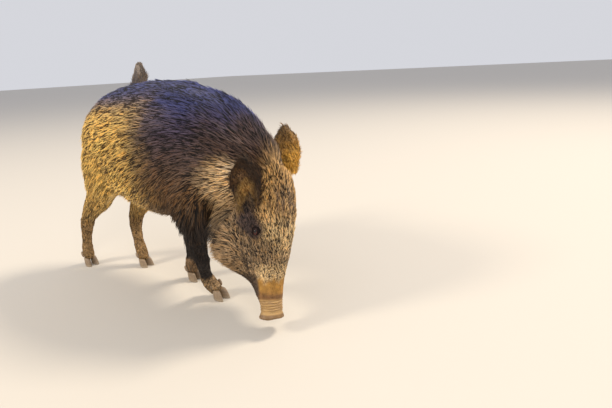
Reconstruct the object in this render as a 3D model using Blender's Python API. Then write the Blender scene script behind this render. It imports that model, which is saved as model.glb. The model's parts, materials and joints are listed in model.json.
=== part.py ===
"""Wild boar, still life-size model: a walking sow with the head lowered and turned to her right.

Metres, +X forward, +Y the animal's left, +Z up, origin on the floor under the middle of the
bounding box. The flesh is one body of fused lofts, parted into nodes by thin cuts. Ears, eyes,
nostrils, claws and dewclaws are fitted to it with a small gap.
"""

import math

import bmesh
import bpy
from mathutils import Matrix, Vector

# ---------------------------------------------------------------- sizes
CUT = 0.0004            # width of the cut between two neighbouring nodes
FIT_GAP = 0.00035       # gap round a fitted piece
VOXEL = 0.0065          # resolution at which the lofts are fused
FLESH_TRIANGLES = 2520
RING = 36               # points round a loft section

# Trunk sections: X, Y, centre height, half width, half height above, half height below
TRUNK = (
    (-0.325, 0.046, 0.585, 0.030, 0.040, 0.055),
    (-0.305, 0.046, 0.580, 0.080, 0.088, 0.115),
    (-0.258, 0.044, 0.572, 0.125, 0.135, 0.168),
    (-0.175, 0.040, 0.564, 0.158, 0.183, 0.210),
    (-0.070, 0.034, 0.552, 0.181, 0.221, 0.235),
    (0.050, 0.027, 0.540, 0.198, 0.246, 0.243),
    (0.175, 0.020, 0.535, 0.202, 0.254, 0.243),
    (0.285, 0.012, 0.535, 0.187, 0.251, 0.232),
    (0.370, 0.006, 0.532, 0.163, 0.238, 0.208),
    (0.440, 0.002, 0.525, 0.128, 0.204, 0.165),
    (0.490, 0.000, 0.520, 0.075, 0.150, 0.110),
)

# Neck sections, square to the path: X, Y, Z, half width, half height
NECK = (
    (0.300, 0.005, 0.560, 0.168, 0.206),
    (0.390, 0.008, 0.552, 0.154, 0.206),
    (0.465, 0.012, 0.525, 0.138, 0.190),
    (0.535, 0.020, 0.478, 0.114, 0.156),
    (0.590, 0.030, 0.420, 0.090, 0.115),
)

# Head: middle of the ear bases, middle of the snout disc, and where the forehead faces
POLL = (0.616, 0.040, 0.440)
SNOUT_TIP = (0.678, -0.076, 0.050)
FACE_AZIMUTH = -4.0    # degrees from +X
NAPE = (-0.045, 0.0, 0.050)  # the cut behind the ears passes here
# Head sections: along the head, half width, height of the widest point, crown, underside
HEAD = (
    (-0.075, 0.055, -0.020, 0.040, -0.070),
    (-0.045, 0.076, -0.030, 0.062, -0.130),
    (0.000, 0.097, -0.045, 0.072, -0.185),
    (0.060, 0.111, -0.065, 0.076, -0.220),
    (0.120, 0.108, -0.078, 0.074, -0.230),
    (0.170, 0.098, -0.075, 0.067, -0.232),
    (0.220, 0.085, -0.062, 0.058, -0.214),
    (0.260, 0.070, -0.048, 0.051, -0.182),
    (0.290, 0.056, -0.028, 0.046, -0.122),
    (0.320, 0.049, -0.014, 0.042, -0.068),
    (0.348, 0.046, -0.008, 0.040, -0.059),
    (0.367, 0.044, -0.002, 0.038, -0.028),
    (0.404, 0.046, 0.002, 0.039, -0.031),
    (0.418, 0.044, 0.002, 0.037, -0.031),
)
DISC_FROM = 0.400
NOSTRIL_SIDE = 0.016
NOSTRIL_UP = 0.004
NOSTRIL_WIDE = 0.0085
NOSTRIL_TALL = 0.0065
NOSTRIL_DEEP = 0.016
EYE_ALONG = 0.138
EYE_SIDE = 0.0770
EYE_UP = 0.014
EYE_RADIUS = 0.0125
MOUTH_LINE = -0.037     # height of the mouth line in the head
MOUTH_CORNER = 0.215    # along the head
CHIN_END = 0.344

# Ears: root on the head (along, side, up), the way the leaf points, the way it opens, length
EARS = {
    "right": ((0.064, -0.100, 0.004), (-0.91, -0.36, 0.20), (0.10, -0.75, 0.65), 0.150),
    "left": ((-0.044, 0.086, -0.004), (-0.94, 0.15, -0.20), (0.00, 0.85, -0.45), 0.178),
}
EAR_HALF_WIDTH = 0.048
EAR_THICK = 0.0055

# Legs: sections down the limb as X, Y, Z, half width, half depth fore and aft
RIGHT_FORE = (
    (0.340, -0.050, 0.560, 0.060, 0.080),
    (0.352, -0.080, 0.480, 0.072, 0.095),
    (0.360, -0.090, 0.390, 0.062, 0.074),
    (0.366, -0.088, 0.310, 0.048, 0.054),
    (0.359, -0.074, 0.240, 0.037, 0.042),
    (0.349, -0.055, 0.175, 0.029, 0.032),
    (0.342, -0.045, 0.145, 0.027, 0.029),
    (0.330, -0.028, 0.100, 0.024, 0.025),
    (0.325, -0.018, 0.070, 0.027, 0.029),
    (0.344, -0.009, 0.040, 0.026, 0.029),
    (0.368, -0.006, 0.024, 0.022, 0.024),
)
LEFT_FORE = (
    (0.275, 0.060, 0.560, 0.060, 0.080),
    (0.262, 0.085, 0.480, 0.075, 0.105),
    (0.240, 0.088, 0.390, 0.062, 0.080),
    (0.204, 0.085, 0.310, 0.048, 0.056),
    (0.174, 0.078, 0.240, 0.037, 0.042),
    (0.156, 0.070, 0.175, 0.030, 0.032),
    (0.152, 0.066, 0.145, 0.028, 0.030),
    (0.149, 0.061, 0.100, 0.024, 0.025),
    (0.146, 0.058, 0.070, 0.027, 0.029),
    (0.150, 0.054, 0.040, 0.026, 0.028),
    (0.158, 0.054, 0.024, 0.022, 0.024),
)
RIGHT_HIND = (
    (-0.110, -0.020, 0.620, 0.060, 0.090),
    (-0.145, -0.050, 0.520, 0.080, 0.125),
    (-0.172, -0.066, 0.430, 0.072, 0.108),
    (-0.220, -0.068, 0.350, 0.053, 0.072),
    (-0.288, -0.074, 0.285, 0.037, 0.050),
    (-0.335, -0.078, 0.230, 0.030, 0.038),
    (-0.362, -0.081, 0.180, 0.026, 0.033),
    (-0.378, -0.083, 0.120, 0.022, 0.026),
    (-0.388, -0.084, 0.075, 0.025, 0.028),
    (-0.385, -0.085, 0.042, 0.025, 0.027),
    (-0.382, -0.085, 0.024, 0.022, 0.023),
)
LEFT_HIND = (
    (-0.110, 0.080, 0.620, 0.060, 0.090),
    (-0.138, 0.110, 0.520, 0.078, 0.125),
    (-0.135, 0.108, 0.430, 0.072, 0.110),
    (-0.140, 0.092, 0.350, 0.058, 0.080),
    (-0.168, 0.074, 0.280, 0.042, 0.054),
    (-0.192, 0.060, 0.225, 0.032, 0.041),
    (-0.196, 0.051, 0.180, 0.027, 0.034),
    (-0.184, 0.044, 0.120, 0.023, 0.026),
    (-0.170, 0.040, 0.075, 0.025, 0.028),
    (-0.156, 0.037, 0.042, 0.025, 0.027),
    (-0.147, 0.037, 0.024, 0.022, 0.023),
)
# Heights of the cuts down each leg: body, elbow or stifle, knee or hock, fetlock
FORE_CUTS = (0.272, 0.175, 0.090)
HIND_CUTS = (0.310, 0.220, 0.092)

# Claws: half spread, length, width, height, and how far the toe leads the limb's end
CLAW_SPREAD = 0.0150
CLAW_LONG = 0.058
CLAW_WIDE = 0.0265
CLAW_TALL = 0.036
CLAW_LEAD = 0.010
DEWCLAW_SPREAD = 0.0215
DEWCLAW_LONG = 0.024
DEWCLAW_WIDE = 0.011
DEWCLAW_HEIGHT = 0.050
DEWCLAW_BACK = 0.0285

# Tail: raised stub with a tuft, X, Y, Z, half width
TAIL = (
    (-0.240, 0.050, 0.630, 0.046),
    (-0.268, 0.100, 0.662, 0.036),
    (-0.246, 0.155, 0.705, 0.031),
    (-0.216, 0.183, 0.765, 0.028),
    (-0.206, 0.190, 0.820, 0.025),
    (-0.203, 0.190, 0.854, 0.018),
)
TAIL_CUTS = (0.720, 0.790)

COAT = (0.16, 0.11, 0.07)
HORN = (0.30, 0.22, 0.15)
SNOUT = (0.50, 0.32, 0.22)
EYE = (0.02, 0.012, 0.008)


# ---------------------------------------------------------------- helpers
def clear_scene():
    for ob in list(bpy.data.objects):
        bpy.data.objects.remove(ob, do_unlink=True)


def material(name, colour, roughness):
    mat = bpy.data.materials.new(name)
    mat.use_nodes = True
    shader = mat.node_tree.nodes["Principled BSDF"]
    shader.inputs["Base Color"].default_value = (*colour, 1.0)
    shader.inputs["Roughness"].default_value = roughness
    shader.inputs["Metallic"].default_value = 0.0
    return mat


def add_object(name, mesh, hidden=False):
    ob = bpy.data.objects.new(name, mesh)
    bpy.context.scene.collection.objects.link(ob)
    if hidden:
        ob.hide_render = True
        ob.display_type = "WIRE"
    return ob


def mesh_of(name, points, faces):
    mesh = bpy.data.meshes.new(name)
    mesh.from_pydata([tuple(p) for p in points], [], faces)
    bm = bmesh.new()
    bm.from_mesh(mesh)
    bmesh.ops.recalc_face_normals(bm, faces=bm.faces)
    if bm.calc_volume(signed=True) < 0:
        bmesh.ops.reverse_faces(bm, faces=bm.faces)
    bm.to_mesh(mesh)
    bm.free()
    return mesh


def loft(name, rings, crescent=False):
    """A closed body through rings of equal point count, shut at both ends."""
    count = len(rings[0])
    points = [p for ring in rings for p in ring]
    faces = []
    for k in range(len(rings) - 1):
        for i in range(count):
            j = (i + 1) % count
            a = k * count
            b = (k + 1) * count
            faces.append((a + i, a + j, b + j, b + i))
    for k in (0, len(rings) - 1):
        if crescent:
            for i in range(count // 2 - 1):
                j = count - 1 - i
                faces.append((k * count + i, k * count + i + 1, k * count + j - 1, k * count + j))
            continue
        centre = sum((Vector(p) for p in rings[k]), Vector()) / count
        points.append(centre)
        tip = len(points) - 1
        for i in range(count):
            faces.append((tip, k * count + i, k * count + (i + 1) % count))
    return add_object(name, mesh_of(name, points, faces), hidden=True)


def smooth_path(rows, steps=4):
    """Catmull-Rom rows between the given rows."""
    out = []
    last = len(rows) - 1
    for k in range(last):
        before = rows[max(k - 1, 0)]
        after = rows[min(k + 2, last)]
        for s in range(steps):
            t = s / steps
            row = []
            for a, b, c, d in zip(before, rows[k], rows[k + 1], after):
                slope = (c - a) * t
                bend = (2 * a - 5 * b + 4 * c - d) * t * t
                turn = (-a + 3 * b - 3 * c + d) * t ** 3
                row.append(0.5 * (2 * b + slope + bend + turn))
            out.append(row)
    out.append(list(rows[last]))
    return out


def trunk_form():
    rings = []
    for x, y, z, half, above, below in smooth_path(TRUNK, 3):
        ring = []
        for i in range(RING):
            turn = 2 * math.pi * i / RING
            side = math.copysign(abs(math.cos(turn)) ** 0.92, math.cos(turn))
            rise = math.sin(turn)
            narrow = 1.0 - 0.13 * max(rise, 0.0) ** 2
            ring.append((x, y + half * side * narrow, z + rise * (above if rise > 0 else below)))
        rings.append(ring)
    return loft("trunk_form", rings)


def tube_form(name, rows, side_axis=(0.0, 1.0, 0.0), flat=1.0):
    """A limb or neck: sections square to its path, rows of X, Y, Z, half width, half depth."""
    rows = smooth_path(rows, 3)
    rings = []
    for k, row in enumerate(rows):
        ahead = Vector(rows[min(k + 1, len(rows) - 1)][:3])
        behind = Vector(rows[max(k - 1, 0)][:3])
        along = (ahead - behind).normalized()
        side = Vector(side_axis)
        side = (side - along * side.dot(along)).normalized()
        depth = along.cross(side)
        centre = Vector(row[:3])
        half = row[3]
        deep = row[4] if len(row) > 4 else row[3] * flat
        ring = []
        for i in range(RING):
            turn = 2 * math.pi * i / RING
            ring.append(centre + side * half * math.cos(turn) + depth * deep * math.sin(turn))
        rings.append(ring)
    return loft(name, rings)


def head_matrix():
    """Along the head to the snout, to its left, and up out of the forehead."""
    along = (Vector(SNOUT_TIP) - Vector(POLL)).normalized()
    facing = math.radians(FACE_AZIMUTH)
    up = Vector((math.cos(facing), math.sin(facing), 0.0))
    up = (up - along * up.dot(along)).normalized()
    side = up.cross(along)
    place = Matrix((along, side, up)).transposed().to_4x4()
    place.translation = Vector(POLL)
    return place


def head_form(place):
    rings = []
    for along, half, widest, crown, under in smooth_path(HEAD, 3):
        ring = []
        for i in range(RING):
            turn = 2 * math.pi * i / RING
            side = math.copysign(abs(math.cos(turn)) ** 0.9, math.cos(turn))
            rise = math.sin(turn)
            reach = crown - widest if rise > 0 else widest - under
            ring.append(place @ Vector((along, half * side, widest + reach * rise)))
        rings.append(ring)
    return loft("head_form", rings)


def apply_modifiers(ob):
    graph = bpy.context.evaluated_depsgraph_get()
    mesh = bpy.data.meshes.new_from_object(ob.evaluated_get(graph))
    ob.modifiers.clear()
    ob.data = mesh


def fuse(forms):
    """One skin over all the forms: joined, remeshed, smoothed and thinned."""
    bm = bmesh.new()
    for ob in forms:
        bm.from_mesh(ob.data)
    mesh = bpy.data.meshes.new("flesh")
    bm.to_mesh(mesh)
    bm.free()
    flesh = add_object("flesh", mesh)
    remesh = flesh.modifiers.new("Fuse", "REMESH")
    remesh.mode = "VOXEL"
    remesh.voxel_size = VOXEL
    blend = flesh.modifiers.new("Blend", "SMOOTH")
    blend.factor = 0.6
    blend.iterations = 10
    apply_modifiers(flesh)
    flesh.data.calc_loop_triangles()
    thin = flesh.modifiers.new("Thin", "DECIMATE")
    thin.ratio = FLESH_TRIANGLES / len(flesh.data.loop_triangles)
    apply_modifiers(flesh)
    return flesh


def volume_of(mesh):
    """The volume of a closed mesh, or nothing where an edge hasn't two faces."""
    bm = bmesh.new()
    bm.from_mesh(mesh)
    closed = len(bm.faces) > 0 and all(len(edge.link_faces) == 2 for edge in bm.edges)
    volume = bm.calc_volume() if closed else 0.0
    bm.free()
    return volume


def boolean(ob, other, meets=True):
    """Takes the other body out of this one, moved a hair where the faces nearly coincide."""
    before = ob.data
    whole = volume_of(before)
    for attempt in range(8):
        hair = 0.00005 * attempt
        other.location = (hair, -0.7 * hair, 0.4 * hair)
        bpy.context.view_layer.update()
        ob.data = before.copy()
        step = ob.modifiers.new("Difference", "BOOLEAN")
        step.operation = "DIFFERENCE"
        step.solver = "EXACT"
        step.object = other
        apply_modifiers(ob)
        after = volume_of(ob.data)
        if 0.3 * whole < after < (whole - 1e-8 if meets else 1.002 * whole):
            return True
    if not meets:
        ob.data = before
    return False


def slab(centre, normal, wide, deep, side_axis=(0.0, 1.0, 0.0)):
    """A thin plate that cuts the flesh."""
    normal = Vector(normal).normalized()
    side = Vector(side_axis)
    side = (side - normal * side.dot(normal)).normalized()
    other = normal.cross(side)
    corners = []
    for a in (-1, 1):
        for b in (-1, 1):
            for c in (-1, 1):
                corner = Vector(centre) + side * wide * a + other * deep * b
                corners.append(corner + normal * CUT * 0.5 * c)
    faces = [(0, 1, 3, 2), (4, 6, 7, 5), (0, 4, 5, 1), (2, 3, 7, 6), (0, 2, 6, 4), (1, 5, 7, 3)]
    return add_object("cutter", mesh_of("cutter", corners, faces), hidden=True)


def islands(mesh):
    bm = bmesh.new()
    bm.from_mesh(mesh)
    bm.verts.ensure_lookup_table()
    seen = set()
    groups = []
    for start in bm.verts:
        if start.index in seen:
            continue
        group = {start.index}
        stack = [start]
        while stack:
            vert = stack.pop()
            for edge in vert.link_edges:
                far = edge.other_vert(vert)
                if far.index not in group:
                    group.add(far.index)
                    stack.append(far)
        seen |= group
        groups.append(group)
    bm.free()
    return groups


def keep_only(mesh, group):
    new = mesh.copy()
    bm = bmesh.new()
    bm.from_mesh(new)
    bmesh.ops.delete(bm, geom=[v for v in bm.verts if v.index not in group], context="VERTS")
    bm.to_mesh(new)
    bm.free()
    return new


def part_off(rest, name, seed, *cutters):
    """Cuts the rest, and makes the loose piece nearest the seed point a node of its own."""
    for cutter in cutters:
        boolean(rest, cutter)
        bpy.data.objects.remove(cutter, do_unlink=True)
    mesh = rest.data
    seed = Vector(seed)
    groups = islands(mesh)
    if len(groups) < 2:
        return None

    def distance(group):
        return min((mesh.vertices[i].co - seed).length for i in group)

    groups.sort(key=distance)
    piece = add_object(name, keep_only(mesh, groups[0]))
    others = set()
    for group in groups[1:]:
        if len(group) >= 8:
            others |= group
    rest.data = keep_only(mesh, others)
    return piece


def swollen(ob, by):
    """A hidden copy that is larger all round."""
    copy = add_object(ob.name + "_room", ob.data.copy(), hidden=True)
    grow = copy.modifiers.new("Room", "DISPLACE")
    grow.mid_level = 0.0
    grow.strength = by
    apply_modifiers(copy)
    return copy


def ellipsoid(name, place, radii, segments=20, rings=12, hidden=False):
    mesh = bpy.data.meshes.new(name)
    bm = bmesh.new()
    bmesh.ops.create_uvsphere(bm, u_segments=segments, v_segments=rings, radius=1.0)
    bmesh.ops.transform(bm, matrix=place @ Matrix.Diagonal((*radii, 1.0)), verts=bm.verts)
    bm.to_mesh(mesh)
    bm.free()
    return add_object(name, mesh, hidden)


def ear(name, place, root, tip_way, mouth_way, length):
    """A cupped leaf: crescent sections from a narrow root to a blunt tip."""
    axis = (place.to_3x3() @ Vector(tip_way)).normalized()
    mouth = place.to_3x3() @ Vector(mouth_way)
    mouth = (mouth - axis * mouth.dot(axis)).normalized()
    across = axis.cross(mouth)
    base = place @ Vector(root)
    rings = []
    steps = 10
    for k in range(steps + 1):
        s = k / steps
        half = EAR_HALF_WIDTH * (0.50 + 0.50 * math.sin(math.pi * min(s / 0.62, 1.0) * 0.5))
        if s > 0.45:
            half *= max(1.0 - ((s - 0.45) / 0.55) ** 3.4, 0.20)
        cup = 0.034 * (1.0 - 0.72 * s)
        thick = EAR_THICK * (1.3 - 0.5 * s)
        wrap = 1.35 - 0.55 * s
        centre = base + axis * length * s - mouth * 0.010 * s * s
        inner = []
        outer = []
        for i in range(9):
            t = -1.0 + 2.0 * i / 8
            turn = t * wrap
            side = half * math.sin(turn) / math.sin(wrap)
            sink = cup * (math.cos(turn) - math.cos(wrap)) / (1 - math.cos(wrap))
            edge = 1.0 - 0.55 * abs(t) ** 4
            inner.append(centre + across * side - mouth * (sink - cup * 0.5))
            outer.append(centre + across * side * 1.02 - mouth * (sink - cup * 0.5 + thick * edge))
        rings.append(inner + outer[::-1])
    ob = loft(name, rings, crescent=True)
    ob.hide_render = False
    ob.display_type = "TEXTURED"
    return ob


def claw(name, x, y, heading, side):
    """One main claw: flat sole at floor level, sloping front wall, rounded toe."""
    turn = Matrix.Rotation(heading, 3, "Z")
    levels = 3
    count = 12
    rings = []
    for k in range(levels + 1):
        t = k / levels
        z = CLAW_TALL * t
        long = CLAW_LONG * 0.5 * (1.0 - 0.30 * t)
        wide = CLAW_WIDE * 0.5 * (1.0 - 0.16 * t)
        back = -0.011 * t
        ring = []
        for i in range(count):
            angle = 2 * math.pi * i / count
            u = math.cos(angle)
            v = math.sin(angle)
            taper = 1.0 - 0.34 * max(u, 0.0) ** 1.5
            sole = 0.90 if k == 0 else 1.0
            spot = Vector((long * u * sole + back, wide * v * taper * sole, z))
            spot.y += side * CLAW_SPREAD
            spot = turn @ spot
            ring.append((x + spot.x, y + spot.y, spot.z))
        rings.append(ring)
    ob = loft(name, rings)
    ob.hide_render = False
    ob.display_type = "TEXTURED"
    return ob


def dewclaw(name, x, y, heading, side):
    turn = Matrix.Rotation(heading, 4, "Z")
    place = Matrix.Translation((x, y, DEWCLAW_HEIGHT)) @ turn
    place = place @ Matrix.Translation((-DEWCLAW_BACK, side * DEWCLAW_SPREAD, 0.0))
    place = place @ Matrix.Rotation(math.radians(-28), 4, "Y")
    radii = (DEWCLAW_WIDE * 0.75, DEWCLAW_WIDE * 0.62, DEWCLAW_LONG * 0.62)
    return ellipsoid(name, place, radii, 8, 5)


# ---------------------------------------------------------------- build
def build():
    clear_scene()
    coat = material("coat", COAT, 0.9)
    horn = material("horn", HORN, 0.5)
    skin = material("snout_skin", SNOUT, 0.6)
    eye_look = material("eye", EYE, 0.1)
    place = head_matrix()

    forms = [trunk_form(), tube_form("neck_form", NECK), head_form(place),
             tube_form("tail_form", TAIL)]
    legs = {"right_fore": RIGHT_FORE, "left_fore": LEFT_FORE,
            "right_hind": RIGHT_HIND, "left_hind": LEFT_HIND}
    for name, rows in legs.items():
        forms.append(tube_form(name + "_form", rows))
    flesh = fuse(forms)
    for ob in forms:
        bpy.data.objects.remove(ob, do_unlink=True)

    nodes = []
    # eyes in sockets that open outward
    for side, word in ((-1, "right"), (1, "left")):
        spot = place @ Matrix.Translation((EYE_ALONG, side * EYE_SIDE, EYE_UP))
        room = ellipsoid("room", spot, (EYE_RADIUS + FIT_GAP,) * 3, 12, 8, True)
        boolean(flesh, room)
        bpy.data.objects.remove(room, do_unlink=True)
        ball = ellipsoid(word + "_eye", spot, (EYE_RADIUS,) * 3, 12, 8)
        nodes.append((ball, eye_look))
    # nostrils
    for side in (-1, 1):
        spot = place @ Matrix.Translation((HEAD[-1][0], side * NOSTRIL_SIDE, NOSTRIL_UP))
        hole = ellipsoid("hole", spot, (NOSTRIL_DEEP, NOSTRIL_WIDE, NOSTRIL_TALL), 10, 6, True)
        boolean(flesh, hole)
        bpy.data.objects.remove(hole, do_unlink=True)

    # claws and dewclaws, let into the feet
    headings = {"right_fore": -0.05, "left_fore": 0.0, "right_hind": -0.10, "left_hind": 0.0}
    for limb, rows in legs.items():
        x, y = rows[-1][0] + CLAW_LEAD, rows[-1][1]
        for side, word in ((-1, "right_claw"), (1, "left_claw")):
            hoof = claw(limb + "_" + word, x, y, headings[limb] + side * 0.10, side)
            spur = dewclaw(limb + "_" + word.replace("claw", "dewclaw"), x, y, headings[limb], side)
            for piece in (hoof, spur):
                room = swollen(piece, FIT_GAP)
                boolean(flesh, room)
                bpy.data.objects.remove(room, do_unlink=True)
                nodes.append((piece, horn))

    flesh.data = keep_only(flesh.data, max(islands(flesh.data), key=len))

    # legs, from the foot up
    names = {"fore": ("foot", "cannon", "forearm"), "hind": ("foot", "cannon", "gaskin")}
    for limb, rows in legs.items():
        kind = limb.split("_")[1]
        cuts = FORE_CUTS if kind == "fore" else HIND_CUTS
        path = smooth_path(rows, 8)
        marks = []
        for height in cuts[::-1]:
            near = min(range(len(path)), key=lambda k: abs(path[k][2] - height))
            marks.append(near)
        low = len(path) - 1
        for near, word in zip(marks, names[kind]):
            at = Vector(path[near][:3])
            way = (Vector(path[near - 1][:3]) - Vector(path[near + 1][:3])).normalized()
            if near == marks[-1]:
                way = Vector((0.0, 0.0, 1.0))
            wide = path[near][3] + 0.040
            deep = path[near][4] + 0.055
            seed = Vector(path[(near + low) // 2][:3])
            piece = part_off(flesh, limb + "_" + word, seed, slab(at, way, wide, deep))
            nodes.append((piece, coat))
            low = near

    # head, disc and jaw
    tilt = place.to_3x3()
    head_way = tilt @ Vector((1.0, 0.0, 0.0))
    head_side = tilt @ Vector((0.0, 1.0, 0.0))
    head_up = tilt @ Vector((0.0, 0.0, 1.0))
    disc = part_off(flesh, "snout_disc", place @ Vector((0.412, 0, 0)),
                    slab(place @ Vector((DISC_FROM, 0, 0)), head_way, 0.07, 0.07, head_side))
    nodes.append((disc, skin))
    middle = 0.5 * (MOUTH_CORNER + CHIN_END) + 0.02
    reach = 0.5 * (CHIN_END - MOUTH_CORNER) + 0.02
    jaw = part_off(
        flesh, "lower_jaw", place @ Vector((0.28, 0, -0.06)),
        slab(place @ Vector((middle, 0, MOUTH_LINE)), head_up, 0.11, reach, head_side),
        slab(place @ Vector((MOUTH_CORNER, 0, MOUTH_LINE - 0.1299)), head_way, 0.11, 0.13, head_side))
    nodes.append((jaw, coat))
    neck_way = (Vector(NECK[-1][:3]) - Vector(NECK[1][:3])).normalized()
    head = part_off(flesh, "head", place @ Vector((0.14, 0, -0.02)),
                    slab(place @ Vector(NAPE), (0.80, -0.05, -0.60), 0.27, 0.40, head_side))
    nodes.append((head, coat))
    neck = part_off(flesh, "neck", NECK[3][:3], slab((0.445, 0.02, 0.53), (0.90, 0.05, -0.43), 0.3, 0.34))
    nodes.append((neck, coat))

    # tail
    for height, name, seed in ((TAIL_CUTS[1], "tail_tuft", TAIL[5][:3]),
                               (TAIL_CUTS[0], "tail", TAIL[3][:3])):
        at = min(smooth_path(TAIL, 8), key=lambda row: abs(row[2] - height))
        nodes.append((part_off(flesh, name, seed, slab(at[:3], (0, 0, 1), 0.045, 0.045)), coat))

    # trunk
    rump = part_off(flesh, "rump", (-0.22, 0, 0.55), slab((-0.110, 0, 0.5), (1, 0, 0.0), 0.4, 0.5))
    nodes.append((rump, coat))
    shoulders = part_off(flesh, "shoulders", (0.33, 0, 0.5), slab((0.190, 0, 0.5), (1, 0, 0.0), 0.4, 0.5))
    nodes.append((shoulders, coat))
    flesh.name = "barrel"
    nodes.append((flesh, coat))

    # ears, trimmed where they enter the head and neck
    for word, (root, tip, mouth, length) in EARS.items():
        leaf = ear(word + "_ear", place, root, tip, mouth, length)
        for body in (head, neck, shoulders):
            for gap in (2.0, 2.6, 3.2, 4.0, 5.0):
                room = swollen(body, gap * FIT_GAP)
                trimmed = boolean(leaf, room, meets=False)
                bpy.data.objects.remove(room, do_unlink=True)
                if trimmed:
                    break
        leaf.data = keep_only(leaf.data, max(islands(leaf.data), key=len))
        nodes.append((leaf, coat))
    return [(ob, look) for ob, look in nodes if ob]


def centre_on_floor(nodes):
    points = [ob.matrix_world @ v.co for ob, look in nodes for v in ob.data.vertices]
    low = [min(p[i] for p in points) for i in range(3)]
    high = [max(p[i] for p in points) for i in range(3)]
    move = Vector((-(low[0] + high[0]) / 2, -(low[1] + high[1]) / 2, -low[2]))
    for ob, look in nodes:
        ob.data.transform(Matrix.Translation(move))
        ob.data.materials.clear()
        ob.data.materials.append(look)
        for face in ob.data.polygons:
            face.use_smooth = True
            face.material_index = 0


centre_on_floor(build())
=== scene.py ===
"""A life-size model of a wild boar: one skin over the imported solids, and a coat of bristle tufts on it."""

import json
import math

import bmesh
import bpy
import numpy as np
from mathutils import Matrix, Vector
from mathutils.bvhtree import BVHTree

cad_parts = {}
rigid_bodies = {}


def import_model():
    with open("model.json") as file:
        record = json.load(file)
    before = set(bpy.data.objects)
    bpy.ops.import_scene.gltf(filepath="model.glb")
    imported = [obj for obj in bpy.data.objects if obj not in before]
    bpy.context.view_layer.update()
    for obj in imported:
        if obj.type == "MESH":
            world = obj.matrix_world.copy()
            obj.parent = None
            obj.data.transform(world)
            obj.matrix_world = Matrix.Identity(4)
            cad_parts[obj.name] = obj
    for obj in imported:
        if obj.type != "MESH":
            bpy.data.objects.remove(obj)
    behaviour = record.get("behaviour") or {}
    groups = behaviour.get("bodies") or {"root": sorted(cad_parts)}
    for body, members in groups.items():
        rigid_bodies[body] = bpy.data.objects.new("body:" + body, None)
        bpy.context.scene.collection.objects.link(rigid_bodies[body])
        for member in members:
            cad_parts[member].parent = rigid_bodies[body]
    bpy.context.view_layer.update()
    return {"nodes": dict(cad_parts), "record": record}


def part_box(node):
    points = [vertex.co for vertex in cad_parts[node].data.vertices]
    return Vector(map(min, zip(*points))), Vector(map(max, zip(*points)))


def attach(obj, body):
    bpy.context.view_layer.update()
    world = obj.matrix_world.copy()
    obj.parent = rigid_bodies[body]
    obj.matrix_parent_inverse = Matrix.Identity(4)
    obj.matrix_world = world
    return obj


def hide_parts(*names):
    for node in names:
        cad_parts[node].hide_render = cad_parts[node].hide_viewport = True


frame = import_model()

# ------------ places, in metres
BODY_SHIFT = Vector((-0.15038, -0.02165, 0.0))
POLL = Vector((0.616, 0.040, 0.440)) + BODY_SHIFT
SNOUT_TIP = Vector((0.678, -0.076, 0.050)) + BODY_SHIFT
FACE_AZIMUTH = -4.0
EYE_ALONG = 0.138
EYE_SIDE = 0.0770
EYE_UP = 0.014
EYE_RADIUS = 0.0125
MOUTH_UP = -0.037      # height of the mouth line in the head, and where it runs from and to
MOUTH_FROM = 0.205
MOUTH_TO = 0.366
WRINKLES_FROM = 0.350  # folds round the muzzle, behind the snout disc
WRINKLES_TO = 0.392
NOSTRILS = ((-0.016, 0.004), (0.016, 0.004))    # to the side and up in the head
SKIN_VOXEL = 0.0030
SKIN_KEPT = 0.272      # share of the skin's faces left after it is made coarser
FINE_FROM = 0.30       # from here along the head the skin is made finer
PATCH_SIZE = 0.003     # of one tuft on the coat's OFBake map
HEAD_SOLIDS = ("head", "lower_jaw", "snout_disc")

nodes = frame["nodes"]
slots = {row["node"]: row["material_slot"] for row in frame["record"]["subparts"]}
FLESH = sorted(name for name in nodes if slots[name] in ("coat", "snout_skin"))


def head_matrix():
    """Along the head to the snout, to its left, and up out of the forehead."""
    along = (SNOUT_TIP - POLL).normalized()
    facing = math.radians(FACE_AZIMUTH)
    up = Vector((math.cos(facing), math.sin(facing), 0.0))
    up = (up - along * up.dot(along)).normalized()
    side = up.cross(along)
    place = Matrix((along, side, up)).transposed().to_4x4()
    place.translation = POLL
    return place


HEAD = head_matrix()
HEAD_AXES = np.array(HEAD.to_3x3())
HEAD_ORIGIN = np.array(HEAD.translation)


def in_head(points):
    """Points as distances along the head, to its left and up out of the face."""
    return (points - HEAD_ORIGIN) @ HEAD_AXES


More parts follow.
